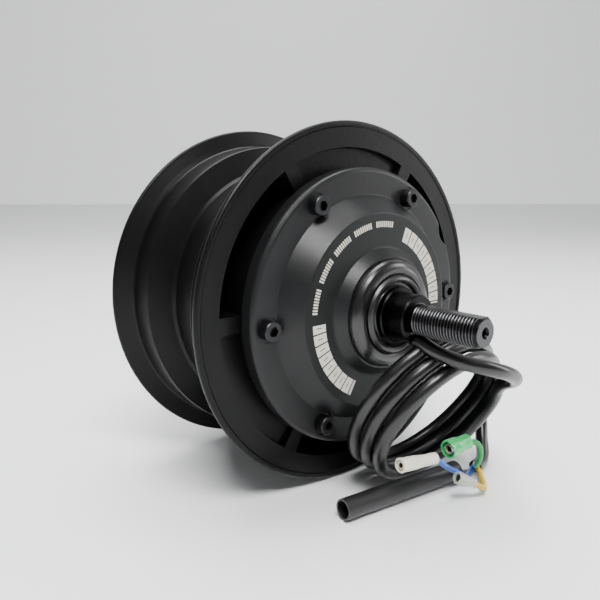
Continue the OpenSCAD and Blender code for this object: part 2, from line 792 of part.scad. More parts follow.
module motor_cable_tail() {
    color([0.07, 0.07, 0.07]) tube(tail_route, cable_r, 2);
}

// Puts what is drawn along +Z on the line between two ends, starting at the first.
module between(ends) {
    way = ends[1] - ends[0];
    translate(ends[0])
        rotate([0, acos(way[2] / norm(way)), atan2(way[1], way[0])]) children();
}

function length_of(ends) = norm(ends[1] - ends[0]);

// The protective sleeve over the sensor lead's connector.
module cable_sleeve() {
    wall = 0.9;
    color([0.16, 0.16, 0.17]) between(sleeve_ends) ring(sleeve_r - wall, sleeve_r, 0, length_of(sleeve_ends));
}

// A bullet connector: a crimp, a collar and a hollow round end.
module bullet(l, r) {
    difference() {
        union() {
            cylinder(r = r * 0.8, h = l * 0.45, $fn = 32);
            translate([0, 0, l * 0.45]) cylinder(r = r, h = l * 0.55, $fn = 32);
        }
        translate([0, 0, l * 0.6]) cylinder(r = r * 0.6, h = l, $fn = 32);
    }
}

// A sleeve over a bullet connector, with a narrower neck over the lead.
module connector_sleeve(ends, r_neck, r_body, neck_share) {
    l = length_of(ends);
    wall = 0.6;
    between(ends) difference() {
        union() {
            cylinder(r = r_neck, h = l * neck_share + wall, $fn = 48);
            translate([0, 0, l * neck_share]) cylinder(r = r_body, h = l * (1 - neck_share), $fn = 48);
        }
        translate([0, 0, -1]) cylinder(r = r_neck - wall, h = l + 2, $fn = 48);
    }
}

module cream_connector_sleeve() {
    color([0.93, 0.91, 0.84]) connector_sleeve(cream_ends, 2.6, 3.1, 0.45);
}

module cream_connector() {
    color([0.75, 0.7, 0.5]) between(cream_ends) translate([0, 0, 2]) bullet(length_of(cream_ends) - 2.5, 1.9);
}

module green_connector_sleeve() {
    color([0.45, 0.82, 0.58]) connector_sleeve(green_ends, 3.4, 4.2, 0.4);
}

module green_connector() {
    color([0.75, 0.7, 0.5]) between(green_ends) translate([0, 0, 2]) bullet(length_of(green_ends) - 3, 2.7);
}

module clear_connector_sleeve() {
    color([0.85, 0.88, 0.84]) connector_sleeve(clear_ends, 2.4, 2.9, 0.5);
}

module clear_connector() {
    color([0.75, 0.7, 0.5]) between(clear_ends) translate([0, 0, 2]) bullet(length_of(clear_ends) - 2.5, 1.7);
}

module blue_phase_lead() {
    color([0.15, 0.35, 0.75]) tube(blue_route, lead_d / 2, 2);
}

module green_phase_lead() {
    color([0.15, 0.55, 0.3]) tube(green_route, lead_d / 2, 2);
}

module sensor_lead() {
    color([0.6, 0.6, 0.62]) tube(sensor_route, lead_d / 2, 2);
}

// The sensor lead's small connector, inside the sleeve.
module sensor_connector() {
    size = [4.4, 3.2, 14];
    color([0.92, 0.92, 0.9]) between([sensor_route[4], sleeve_ends[0]])
        translate([-size[0] / 2, -size[1] / 2, 0]) cube(size);
}

module yellow_phase_lead() {
    color([0.85, 0.75, 0.2]) tube(yellow_route, lead_d / 2, 2);
}

hub_shell();
flux_ring();
magnets();
cable_side_gasket();
cable_side_cover();
cable_side_cover_screws();
cable_side_seal_cap();
cable_side_oil_seal();
cable_side_bearing_outer_race();
cable_side_bearing_shields();
cable_side_bearing_inner_race();
cable_side_bearing_balls();
cable_side_bearing_cage();
brake_side_gasket();
brake_side_cover();
brake_side_cover_screws();
brake_side_oil_seal();
brake_side_bearing_outer_race();
brake_side_bearing_shields();
brake_side_bearing_inner_race();
brake_side_bearing_balls();
brake_side_bearing_cage();
axle();
axle_key();
cable_side_circlip();
brake_side_circlip();
cable_side_spacer();
stator_carrier();
stator_core();
cable_side_insulator();
brake_side_insulator();
stator_coils();
hall_board();
hall_sensors();
hall_board_screws();
inner_cable();
inner_phase_leads();
motor_cable();
motor_cable_coil();
motor_cable_tail();
cable_sleeve();
cream_connector_sleeve();
cream_connector();
blue_phase_lead();
green_connector_sleeve();
green_connector();
green_phase_lead();
clear_connector_sleeve();
clear_connector();
yellow_phase_lead();
sensor_lead();
sensor_connector();
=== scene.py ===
# %% [markdown]
# # A hub motor wheel
# A hub motor wheel is a cast rim with a motor in its middle. The axle stands still between the
# two fork arms and the rim turns round it. A CAD model already fixes every size, so this lesson
# loads that model, keeps its pieces where they are, and adds what makes them look real: paint,
# turned steel, a cut thread, and a cable that lies the way a cable lies.

# %% Load the frame
import math
import bpy
from mathutils import Matrix, Vector


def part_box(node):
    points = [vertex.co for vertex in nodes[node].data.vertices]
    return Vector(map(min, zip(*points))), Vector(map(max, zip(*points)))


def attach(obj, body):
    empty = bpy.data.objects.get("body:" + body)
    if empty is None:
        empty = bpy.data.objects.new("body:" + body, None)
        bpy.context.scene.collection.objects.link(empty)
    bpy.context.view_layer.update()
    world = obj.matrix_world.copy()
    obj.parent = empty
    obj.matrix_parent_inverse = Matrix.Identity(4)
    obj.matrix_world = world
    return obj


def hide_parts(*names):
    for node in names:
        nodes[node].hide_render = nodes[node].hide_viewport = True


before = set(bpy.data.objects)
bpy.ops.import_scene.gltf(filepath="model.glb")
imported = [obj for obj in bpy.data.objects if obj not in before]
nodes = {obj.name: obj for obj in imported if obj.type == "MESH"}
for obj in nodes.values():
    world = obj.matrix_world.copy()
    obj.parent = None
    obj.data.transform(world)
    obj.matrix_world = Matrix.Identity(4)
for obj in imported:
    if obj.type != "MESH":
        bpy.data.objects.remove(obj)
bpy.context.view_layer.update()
MM = 0.001
print("pieces in the frame:", len(nodes))

# %% [markdown]
# ## The camera
# The camera stands low in front of the cable side and looks a little down. Its place and its
# direction are written as plain vectors, and the quaternion turns the camera to look that way.

# %% Camera
CAMERA_PLACE = Vector((-203.95, -252.39, 57.05)) * MM
CAMERA_LOOKS = Vector((0.6201, 0.7628, -0.1833))
bpy.ops.object.select_all(action="DESELECT")
bpy.ops.object.camera_add(location=CAMERA_PLACE)
camera = bpy.context.object
camera.rotation_mode = "QUATERNION"
camera.rotation_quaternion = CAMERA_LOOKS.to_track_quat("-Z", "Y")
camera.data.sensor_width = 36
camera.data.lens = 37.6
camera.data.clip_start = 0.01
bpy.context.scene.camera = camera

# %% [markdown]
# ## Routes for the cable and its leads
# A cable has one fixed length and can't bend tightly. This one leaves the axle under its
# shoulder, loops out, winds three turns and ends on the floor. The stretches that aren't coiled
# are listed points, and the coil's turns come from a loop. A Bezier curve with automatic
# handles runs smoothly through all of them, and its bevel gives it the jacket's thickness.

# %% A curve through a route
def cord_curve(name, route, diameter):
    """A round cord along a route given in millimetres."""
    data = bpy.data.curves.new(name, "CURVE")
    data.dimensions = "3D"
    data.resolution_u = 5
    data.bevel_depth = diameter / 2 * MM
    data.bevel_resolution = 5
    data.use_fill_caps = True
    spline = data.splines.new("BEZIER")
    spline.bezier_points.add(len(route) - 1)
    for point, place in zip(spline.bezier_points, route):
        point.co = Vector(place) * MM
        point.handle_left_type = point.handle_right_type = "AUTO"
    cord = bpy.data.objects.new(name, data)
    bpy.context.scene.collection.objects.link(cord)
    bpy.context.view_layer.update()
    print(name, "is", round(spline.calc_length(), 3), "m long")
    return cord


# %% The motor cable
CABLE_D = 6.5
LEAD_ROUTE = [
    (0, -77, -8.2), (0, -83.5, -9.9), (1.5, -90.5, -12.9), (8, -99.5, -16.6), (19, -106.5, -20),
    (31.5, -107, -24.5), (43, -102.5, -30.5),
]
TAIL_ROUTE = [
    (63, -69.5, -33), (69, -66.5, -42), (72, -65.5, -53), (71, -67, -64), (66, -71.5, -74),
    (58, -78, -81), (48, -81, -81.7),
]
COIL_CENTRE = Vector((20, -82.5, -52.2))
COIL_R = 34
COIL_STEP = 6.7
COIL_GROWTH = 2
COIL_SLANT = math.radians(60)
COIL_TURNS = 3
COIL_START = math.radians(30)
POINTS_PER_TURN = 16


def coil_point(turns):
    """A point of the coil, so many turns after its start."""
    angle = COIL_START - 2 * math.pi * turns
    radius = COIL_R + COIL_GROWTH * turns
    back = Vector((0, math.sin(COIL_SLANT), math.cos(COIL_SLANT)))
    up = Vector((0, -math.cos(COIL_SLANT), math.sin(COIL_SLANT)))
    across = Vector((1, 0, 0))
    out = math.cos(angle) * across + math.sin(angle) * up
    return COIL_CENTRE + COIL_STEP * turns * back + radius * out


coil_route = [coil_point(i / POINTS_PER_TURN) for i in range(COIL_TURNS * POINTS_PER_TURN + 1)]
motor_cable = cord_curve("cable_jacket", LEAD_ROUTE + coil_route + TAIL_ROUTE, CABLE_D)

# %% [markdown]
# Four thin leads come out of the jacket's end. The blue, green and yellow ones carry the motor's
# three phases. The grey one serves the position sensors, and slips into the sleeve on the floor.

# %% The four leads
LEAD_D = 2.6
BLUE_ROUTE = [
    (47.6, -79.7, -82.5), (41, -82.5, -82.6), (33, -86, -80.5), (25, -87, -75.5), (17, -87, -70.5),
    (12, -88, -67), (7, -88, -63),
]
GREEN_ROUTE = [
    (48, -81, -80.1), (42, -85, -78), (37, -89.5, -74), (34, -93, -67), (31, -93, -61),
    (26, -91, -59),
]
YELLOW_ROUTE = [
    (48.4, -82.3, -82.5), (44, -87, -83.2), (39, -92, -83.4), (34, -96, -82.5), (29, -98, -80),
    (24, -97, -77),
]
SENSOR_ROUTE = [
    (47.5, -80.6, -83), (43, -80.2, -83.4), (38, -79.8, -82), (33, -79.4, -80.2), (17, -77.8, -80.2),
]
blue_lead = cord_curve("blue_lead", BLUE_ROUTE, LEAD_D)
green_lead = cord_curve("green_lead", GREEN_ROUTE, LEAD_D)
yellow_lead = cord_curve("yellow_lead", YELLOW_ROUTE, LEAD_D)
sensor_lead = cord_curve("sensor_lead", SENSOR_ROUTE, LEAD_D)

# %% [markdown]
# ## Floor and light
# A wheel this dark needs large pale lights: the eye reads a black shape by what it mirrors. The
# background is a pale floor that runs out to a tall upright backdrop. The backdrop glows by
# itself, so it stays even from edge to edge, and a wide light far behind the wheel brings the
# floor there to the same grey.

# %% Floor and backdrop
FLOOR_SIZE = 12
FLOOR_GAP = 0.0004
BACKDROP_SIZE = 14
BACKDROP_PLACE = (2.5, 3.2, 3)
BACKDROP_TURN = (math.radians(90), 0, math.radians(-38))


def stage_plane(name, size, place, turn=(0, 0, 0)):
    """A flat board of the stage, which isn't part of the wheel."""
    bpy.ops.object.select_all(action="DESELECT")
    bpy.ops.mesh.primitive_plane_add(size=size, location=place, rotation=turn)
    plane = bpy.context.object
    plane.name = name
    return plane


floor = stage_plane("floor", FLOOR_SIZE, (0, 0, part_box("hub_shell")[0].z - FLOOR_GAP))
backdrop = stage_plane("backdrop", BACKDROP_SIZE, BACKDROP_PLACE, BACKDROP_TURN)

# %% [markdown]
# Three lights shape the wheel itself. A small key hangs high over the camera and gives the
# paint its highlights, a tall narrow one at the right draws an edge along the rim and the cable,
# and a wide one overhead opens the tyre channel. Each entry says where a light stands, where it
# looks, its width and height in metres, and its power in watts.

# %% Lights
LIGHTS = {
    "key": ((-0.35, -0.6, 1.05), (0, 0, 0), (0.6, 0.4), 24),
    "side": ((0.95, -0.6, 0.45), (0, 0, 0), (0.3, 0.9), 7),
    "top": ((0.1, 0.25, 1.2), (0, 0, 0), (1.0, 0.8), 22),
    "back": ((1.5, 2.1, 2.2), (1.5, 2.3, 0), (3, 2), 26),
}
WORLD_COLOUR = (0.86, 0.87, 0.88, 1)
WORLD_STRENGTH = 0.3


def soft_light(name, place, aim, size, power):
    """A flat light that faces the point it aims at."""
    bpy.ops.object.light_add(type="AREA", location=place)
    light = bpy.context.object
    light.name = name
    light.rotation_mode = "QUATERNION"
    light.rotation_quaternion = (Vector(aim) - Vector(place)).to_track_quat("-Z", "Y")
    light.data.shape = "RECTANGLE"
    light.data.size, light.data.size_y = size
    light.data.energy = power


for name, settings in LIGHTS.items():
    soft_light(name, *settings)
world = bpy.data.worlds.new("studio")
bpy.context.scene.world = world
world.use_nodes = True
sky = world.node_tree.nodes["Background"]
sky.inputs["Color"].default_value = WORLD_COLOUR
sky.inputs["Strength"].default_value = WORLD_STRENGTH

# %% [markdown]
# ## Writing materials as sums
# A material is a net of nodes. Clicking one together is slow to read back, so this small class
# wraps an output of a node, and Python's own signs then add the Math nodes: `1 - mask * 0.5`
# makes two of them. Every other kind of node comes from the one method `node`.

# %% The class for material maths
class Sum:
    """An output of a material's node, which can be added, multiplied and compared."""

    def __init__(self, tree, socket):
        self.tree, self.socket = tree, socket

    def node(self, kind, settings, sockets, output=0):
        """A new node with its settings, and with each named socket linked or filled."""
        new = self.tree.nodes.new(kind)
        for key, value in settings.items():
            setattr(new, key, value)
        for key, value in sockets.items():
            if isinstance(value, Sum):
                self.tree.links.new(value.socket, new.inputs[key])
            else:
                new.inputs[key].default_value = value
        return Sum(self.tree, new.outputs[output])

    def maths(self, operation, *values):
        return self.node("ShaderNodeMath", {"operation": operation}, dict(enumerate(values)))

    def __add__(self, other):
        return self.maths("ADD", self, other)

    def __sub__(self, other):
        return self.maths("SUBTRACT", self, other)

    def __rsub__(self, other):
        return self.maths("SUBTRACT", other, self)

    def __mul__(self, other):
        return self.maths("MULTIPLY", self, other)

    def __gt__(self, other):
        return self.maths("GREATER_THAN", self, other)

    def __lt__(self, other):
        return self.maths("LESS_THAN", self, other)

    __radd__, __rmul__ = __add__, __mul__


# %% [markdown]
# A finish starts with its fixed numbers on the shader's own sockets. The helpers below add what
# changes over the surface: a noise, a mix of two colours by a mask, and a bump.

# %% Helpers for finishes
class Finish:
    """A material, with the places on the piece in millimetres."""

    def __init__(self, name, **constants):
        self.material = bpy.data.materials.new(name)
        self.material.use_nodes = True
        tree = self.material.node_tree
        self.shader = tree.nodes["Principled BSDF"]
        for key, value in constants.items():
            socket = key.replace("_", " ").title().replace("Ior", "IOR")
            self.shader.inputs[socket].default_value = value
        start = Sum(tree, self.shader.outputs[0])
        self.where = start.node("ShaderNodeTexCoord", {}, {}, "Object")
        self.where = self.where.node(
            "ShaderNodeVectorMath", {"operation": "SCALE"}, {0: self.where, "Scale": 1000})
        parts = self.where.node("ShaderNodeSeparateXYZ", {}, {0: self.where})
        split = parts.socket.node
        self.x, self.y, self.z = (Sum(tree, split.outputs[i]) for i in range(3))
        self.tree = tree

    def noise(self, scale, detail=3, stretch=(1, 1, 1)):
        """A noise of so many grains to the millimetre."""
        place = self.where.node(
            "ShaderNodeVectorMath", {"operation": "MULTIPLY"}, {0: self.where, 1: stretch})
        return self.where.node(
            "ShaderNodeTexNoise", {}, {"Vector": place, "Scale": scale, "Detail": detail})

    def radius(self):
        """The distance from the axle's line."""
        square = self.x * self.x + self.z * self.z
        return square.maths("SQRT", square)

    def mix(self, mask, first, second):
        """A colour between two, by a mask from 0 to 1."""
        first, second = (c if isinstance(c, Sum) else (*c, 1) for c in (first, second))
        return mask.node("ShaderNodeMix", {"data_type": "RGBA"}, {0: mask, 6: first, 7: second}, 2)

    def paint(self, **sockets):
        """Links sums to the shader's sockets of those names."""
        for key, value in sockets.items():
            self.tree.links.new(value.socket, self.shader.inputs[key.replace("_", " ").title()])
        return self

    def bump(self, height, depth):
        """Raises the surface by height, from 0 to 1, times a depth in millimetres."""
        lifted = height.node(
            "ShaderNodeBump", {}, {"Height": height, "Distance": depth * MM, "Strength": 1.0})
        self.tree.links.new(lifted.socket, self.shader.inputs["Normal"])
        return self


def dress(finish, *names):
    """Gives CAD pieces a finish in place of their plain one."""
    for name in names:
        nodes[name].data.materials.clear()
        nodes[name].data.materials.append(finish.material)


# %% [markdown]
# ## Powder coat on the cast rim
# The rim is a die casting under a satin black powder coat. Powder coat flows out into a very
# fine orange peel, and the casting under it is never quite even. Four noises do that: a fine one
# for the peel, a coarser one for the cast skin under it, a broad one that shifts the gloss, and
# specks that break up the colour.

# %% Rim paint
PEEL_DEPTH = 0.035
RIM_SHINE = 0.17
RIM_DARK, RIM_PALE = (0.002, 0.002, 0.0022), (0.0045, 0.0045, 0.0049)
COVER_SHINE = 0.28
COVER_DARK, COVER_PALE = (0.006, 0.0062, 0.0065), (0.011, 0.0112, 0.012)


def powder_coat(name, dark, pale, shine):
    """Satin powder coat between two shades, over a cast skin."""
    coat = Finish(name, specular_ior_level=shine)
    peel = coat.noise(1.6, 2)
    broad = coat.noise(0.05, 2)
    skin = coat.noise(0.22, 3)
    specks = coat.noise(0.9, 4)
    coat.paint(
        base_color=coat.mix(broad * 0.5 + specks * 0.5, dark, pale),
        roughness=0.27 + broad * 0.12 + specks * 0.06,
    )
    return coat.bump(peel + skin * 2.5, PEEL_DEPTH)


dress(powder_coat("rim_powder_coat", RIM_DARK, RIM_PALE, RIM_SHINE), "hub_shell")

# %% [markdown]
# ## The covers and the printed ring
# The covers have the same coat, a shade greyer. On the cable side cover a flat ring round the
# boss carries a print. It is drawn here with plain marks: two arcs of broad bars, each with a
# slit in its middle, and between them a row of fine ticks in groups. The radius picks the band,
# and the angle round the axle picks each mark. Lengths are in millimetres. Angles are in degrees
# and run clockwise from the top, as seen from the cable side.

# %% The print's sizes
PRINT_FACE = -58.9
PRINT_RING = (28.9, 44.2)
PRINT_ARCS = ((207, 268), (22, 91))
BAR_BAND = (33.4, 40.2)
BAR_PITCH = 7.5
BAR_SPAN = 6.6
SLIT_BAND = (35.4, 38.2)
SLIT_SPAN = (3.0, 3.6)
TICK_BAND = (38.0, 40.6)
TICK_START = 275
TICK_ARC = 95
TICK_PITCH = 1.8
TICK_SPAN = 1.1
GROUP_PITCH = 19.8
GROUP_SPAN = 16
PRINT_INK = (0.6, 0.57, 0.51)
RING_TINT = (0.003, 0.0046, 0.004)


def between(value, low, high):
    """1 where a value lies between two others, and 0 elsewhere."""
    return (value > low) * (value < high)


def wrapped(value, period):
    """What is left of a value after whole periods are taken off."""
    return value.maths("MODULO", value, period)


# %% Cover paint
cover_paint = Finish("cover_powder_coat", specular_ior_level=COVER_SHINE)
peel = cover_paint.noise(1.6, 2)
broad = cover_paint.noise(0.05, 2)
specks = cover_paint.noise(0.9, 4)
r = cover_paint.radius()
turn = r.maths("ARCTAN2", cover_paint.x, cover_paint.z) * (180 / math.pi)
turn = wrapped(turn + 360, 360)
on_ring = between(r, *PRINT_RING) * (cover_paint.y < PRINT_FACE)
in_bar = wrapped(turn, BAR_PITCH)
bars = (in_bar < BAR_SPAN) * between(r, *BAR_BAND)
slits = between(in_bar, *SLIT_SPAN) * between(r, *SLIT_BAND)
arcs = between(turn, *PRINT_ARCS[0]) + between(turn, *PRINT_ARCS[1])
past = wrapped(turn + (360 - TICK_START), 360)
ticks = (wrapped(past, TICK_PITCH) < TICK_SPAN) * (wrapped(past, GROUP_PITCH) < GROUP_SPAN)
ticks = ticks * between(r, *TICK_BAND) * (past < TICK_ARC)
printed = (bars * (1 - slits) * arcs + ticks) * on_ring
coat_colour = cover_paint.mix(broad * 0.5 + specks * 0.5, COVER_DARK, COVER_PALE)
ring_colour = cover_paint.mix(on_ring, coat_colour, RING_TINT)
cover_paint.paint(
    base_color=cover_paint.mix(printed, ring_colour, PRINT_INK),
    roughness=0.28 + broad * 0.1 + specks * 0.08 + on_ring * 0.12,
)
cover_paint.bump(peel + printed * 2, PEEL_DEPTH)
dress(cover_paint, "cable_side_cover")
brake_cover_paint = powder_coat("brake_cover_powder_coat", COVER_DARK, COVER_PALE, COVER_SHINE)
dress(brake_cover_paint, "brake_side_cover")

# %% [markdown]
# ## Metals
# Turned and ground steel keeps fine lines round its own axis. One function makes all the metals:
# two shades, a roughness, and a stretch of the noise that says which way the tool went.

# %% Steels
def steel(name, dark, pale, roughness, stretch=(1, 1, 1), grain=0.02):
    """A metal between two shades. The grain is the depth of the tool's lines in millimetres."""
    metal = Finish(name, metallic=1.0)
    lines = metal.noise(1.2, 4, stretch)
    stains = metal.noise(0.15, 3)
    metal.paint(
        base_color=metal.mix(lines * 0.6 + stains * 0.4, dark, pale),
        roughness=roughness + stains * 0.14,
    )
    return metal.bump(lines, grain)


ROUND_LINES = (0.15, 4, 0.15)
SHEET_LINES = (0.1, 12, 0.1)
WIRE_LINES = (4, 0.3, 4)
dress(steel("screw_black_oxide", (0.02, 0.02, 0.021), (0.06, 0.06, 0.063), 0.34),
      "cable_side_cover_screws", "brake_side_cover_screws")
dress(steel("ground_bearing_steel", (0.5, 0.5, 0.52), (0.72, 0.72, 0.74), 0.1, ROUND_LINES),
      "cable_side_bearing_outer_race", "brake_side_bearing_outer_race",
      "cable_side_bearing_inner_race", "brake_side_bearing_inner_race",
      "cable_side_bearing_balls", "brake_side_bearing_balls")
dress(steel("pressed_cage_steel", (0.4, 0.39, 0.36), (0.6, 0.58, 0.52), 0.3),
      "cable_side_bearing_cage", "brake_side_bearing_cage")
dress(steel("plain_steel", (0.3, 0.3, 0.31), (0.5, 0.5, 0.52), 0.28, ROUND_LINES),
      "flux_ring", "axle_key", "cable_side_circlip", "brake_side_circlip", "cable_side_spacer")
dress(steel("nickel_magnets", (0.6, 0.59, 0.56), (0.74, 0.73, 0.7), 0.18), "magnets")
dress(steel("cast_carrier", (0.42, 0.42, 0.44), (0.62, 0.62, 0.64), 0.4, grain=0.06),
      "stator_carrier")
dress(steel("stacked_core", (0.2, 0.2, 0.22), (0.42, 0.42, 0.44), 0.35, SHEET_LINES, 0.05),
      "stator_core")
dress(steel("copper_winding", (0.5, 0.2, 0.07), (0.75, 0.33, 0.12), 0.25, WIRE_LINES, 0.1),
      "stator_coils")


# %% [markdown]
# ## Plastics and rubber
# A moulded plastic is nearly one colour, but its gloss isn't: handling and dust dull it in
# patches. The function takes the tint and the roughness, and the noise moves both a little.

# %% Mouldings
PATCH_SHADE = 0.72


def moulding(name, tint, roughness, coat=0.0, grain=0.01, patch=0.1, **constants):
    """A plastic or rubber with a clear coat of a given weight and patches of lower gloss."""
    plastic = Finish(name, coat_weight=coat, coat_roughness=0.12, **constants)
    patches = plastic.noise(0.22, 3)
    fine = plastic.noise(2.2, 3)
    shade = tuple(c * PATCH_SHADE for c in tint)
    plastic.paint(
        base_color=plastic.mix(patches * 0.6 + fine * 0.4, shade, tint),
        roughness=roughness + patches * patch,
    )
    return plastic.bump(fine, grain)


dress(moulding("gloss_cap", (0.003, 0.003, 0.0033), 0.24, 0.25), "cable_side_seal_cap")
seal_rubber = moulding("seal_rubber", (0.004, 0.004, 0.0044), 0.32, 0.15)
dress(seal_rubber, "cable_side_oil_seal", "brake_side_oil_seal",
      "cable_side_bearing_shields", "brake_side_bearing_shields")
dress(moulding("gasket_fibre", (0.03, 0.03, 0.03), 0.7, grain=0.04),
      "cable_side_gasket", "brake_side_gasket")
dress(moulding("insulator_nylon", (0.72, 0.68, 0.52), 0.4),
      "cable_side_insulator", "brake_side_insulator")
dress(moulding("board_laminate", (0.03, 0.2, 0.08), 0.25, 0.5), "hall_board")
dress(moulding("sensor_body", (0.02, 0.02, 0.02), 0.45), "hall_sensors")
dress(steel("board_screws", (0.4, 0.4, 0.42), (0.6, 0.6, 0.62), 0.25), "hall_board_screws")
dress(moulding("inner_jacket", (0.012, 0.012, 0.013), 0.25), "inner_cable")
dress(moulding("inner_leads", (0.6, 0.5, 0.12), 0.35), "inner_phase_leads")

# %% [markdown]
# ## Turning a piece on a lathe
# The axle, the sleeves and the connectors are all round. On a lathe such a piece is one outline
# carried round an axis, so the helper draws the outline by extruding a point from place to
# place, then the Screw modifier carries it round Y. The outline runs from the axis back to the
# axis, which closes the solid, or back to its own first point, which makes a ring.

# %% The lathe
WELD = 0.001 * MM
SMOOTH_UP_TO = math.radians(35)


def turned(name, outline, steps):
    """A piece turned about Y. The outline's points are (radius, place along Y), in millimetres."""
    bpy.ops.object.select_all(action="DESELECT")
    bpy.ops.mesh.primitive_plane_add(size=MM)
    piece = bpy.context.object
    piece.name = piece.data.name = name
    bpy.ops.object.mode_set(mode="EDIT")
    bpy.ops.mesh.merge(type="CENTER")
    bpy.ops.transform.translate(value=(outline[0][0] * MM, outline[0][1] * MM, 0))
    for (r0, y0), (r1, y1) in zip(outline, outline[1:]):
        step = ((r1 - r0) * MM, (y1 - y0) * MM, 0)
        bpy.ops.mesh.extrude_region_move(TRANSFORM_OT_translate={"value": step})
    bpy.ops.mesh.select_all(action="SELECT")
    bpy.ops.mesh.remove_doubles(threshold=WELD)
    bpy.ops.object.mode_set(mode="OBJECT")
    lathe = piece.modifiers.new("lathe", "SCREW")
    lathe.axis = "Y"
    lathe.steps = lathe.render_steps = steps
    lathe.use_merge_vertices = True
    lathe.merge_threshold = WELD
    bpy.ops.object.modifier_apply(modifier="lathe")
    bpy.ops.object.mode_set(mode="EDIT")
    bpy.ops.mesh.select_all(action="SELECT")
    bpy.ops.mesh.remove_doubles(threshold=WELD)
    bpy.ops.mesh.normals_make_consistent(inside=False)
    bpy.ops.object.mode_set(mode="OBJECT")
    bpy.ops.object.shade_smooth_by_angle(angle=SMOOTH_UP_TO)
    print(name, "has", len(piece.data.polygons), "faces")
    return piece


# %% [markdown]
# ## The axle and its thread
# A thread is a ridge that climbs round the rod, one pitch to the turn. The lathe gives the rod
# with a ring of points every sixth of a pitch. Each point in the threaded stretch is then moved
# in or out by where it is along the pitch and round the rod, which cuts a true helix that fades
# out over its last turn. The two flats come last: every point beyond them is pressed onto them.

# %% Axle blank
AXLE_TIP = -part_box("axle")[0].y / MM
AXLE_STEPS = 108
THREAD_R = 7.0
THREAD_PITCH = 1.5
THREAD_DEPTH = 0.92
RINGS_PER_PITCH = 6
FLAT_HALF = 6.0
CHAMFER = 1.2
DRILLING_R, DRILLING_MOUTH_R, DRILLING_DEPTH = 1.6, 2.4, 6
RELIEF, RELIEF_R = 1.5, 6.0
SHOULDER_R, SHOULDER_END = 10.5, 81.7
JOURNAL_R, JOURNAL_END, JOURNAL_EDGE = 12.5, 71.5, 0.5
STATOR_SEAT_R, STATOR_SEAT_HALF = 14, 26
COLLAR_R, COLLAR_END = 17, 30
STEP_R, STEP_END = 13, 43
BRAKE_JOURNAL_R, BRAKE_SHOULDER_END = 10, 72.0
EDGE = 0.7


def threaded_end(shoulder_end):
    """The outline of one end, from its centre drilling in to its relief groove."""
    end = [(0, AXLE_TIP - DRILLING_DEPTH), (DRILLING_R, AXLE_TIP - DRILLING_DEPTH + 1)]
    end += [(DRILLING_R, AXLE_TIP - 1), (DRILLING_MOUTH_R, AXLE_TIP)]
    end += [(THREAD_R - CHAMFER - 0.3, AXLE_TIP), (THREAD_R - 0.4, AXLE_TIP - CHAMFER)]
    step = THREAD_PITCH / RINGS_PER_PITCH
    rings = int((AXLE_TIP - CHAMFER - shoulder_end - RELIEF) / step)
    end += [(THREAD_R, AXLE_TIP - CHAMFER - step * i) for i in range(1, rings)]
    return end + [(RELIEF_R, shoulder_end + RELIEF), (RELIEF_R, shoulder_end)]


cable_end = [(r, -y) for r, y in threaded_end(SHOULDER_END)]
journal = [
    (SHOULDER_R - EDGE, -SHOULDER_END), (SHOULDER_R, EDGE - SHOULDER_END), (SHOULDER_R, -JOURNAL_END),
    (JOURNAL_R - JOURNAL_EDGE, -JOURNAL_END), (JOURNAL_R, JOURNAL_EDGE - JOURNAL_END),
    (JOURNAL_R, -STATOR_SEAT_HALF), (STATOR_SEAT_R, -STATOR_SEAT_HALF),
    (STATOR_SEAT_R, STATOR_SEAT_HALF), (COLLAR_R, STATOR_SEAT_HALF), (COLLAR_R, COLLAR_END),
    (STEP_R, COLLAR_END), (STEP_R, STEP_END), (BRAKE_JOURNAL_R, STEP_END),
    (BRAKE_JOURNAL_R, BRAKE_SHOULDER_END - EDGE), (BRAKE_JOURNAL_R - EDGE, BRAKE_SHOULDER_END),
]
brake_end = threaded_end(BRAKE_SHOULDER_END)[::-1]
axle = turned("axle_turned", cable_end + journal + brake_end, AXLE_STEPS)

# %% Cut the thread and press the flats
for vertex in axle.data.vertices:
    x, y, z = vertex.co / MM
    out = abs(y)
    start = SHOULDER_END if y < 0 else BRAKE_SHOULDER_END
    r = math.hypot(x, z)
    if start + RELIEF + 0.05 < out < AXLE_TIP - CHAMFER - 0.05 and r > THREAD_R - 0.5:
        phase = (y / THREAD_PITCH - math.atan2(x, z) / (2 * math.pi)) % 1
        ridge = min(1, max(0, 1.25 - abs(phase - 0.5) * 3))
        run_out = min(1, (out - start - RELIEF) / THREAD_PITCH)
        grow = (THREAD_R - THREAD_DEPTH * (1 - ridge) * run_out) / r
        x, z = x * grow, z * grow
    if out > start + RELIEF:
        z = max(-FLAT_HALF, min(FLAT_HALF, z))
    vertex.co = Vector((x, y, z)) * MM
axle.data.update()
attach(axle, "axle_and_stator")
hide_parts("axle")

# %% [markdown]
# The axle is blackened. The blackening rubs off first where nuts and tools touch it, so the
# thread's crests and the two end faces are a shade brighter.

# %% Axle steel
CREST_BAND = (6.75, 7.2)
axle_steel = Finish("axle_black_oxide", metallic=1.0)
lines = axle_steel.noise(1.0, 4, ROUND_LINES)
rub = axle_steel.noise(0.5, 4)
r = axle_steel.radius()
crest = between(r, *CREST_BAND) * (0.55 + rub * 0.6)
end_face = between(axle_steel.y.maths("ABSOLUTE", axle_steel.y), AXLE_TIP - 0.15, AXLE_TIP + 1)
bright = crest.maths("MAXIMUM", crest, end_face * 0.8)
axle_steel.paint(
    base_color=axle_steel.mix(bright, (0.014, 0.014, 0.015), (0.09, 0.09, 0.093)),
    roughness=0.22 + rub * 0.16,
)
axle_steel.bump(lines, 0.015)
axle.data.materials.append(axle_steel.material)

# %% [markdown]
# ## Cable jacket and lead insulation
# Cable jackets are extruded, so they are smooth along their length, with a soft shine and faint
# marks from handling. The curves take their finish like any other piece.

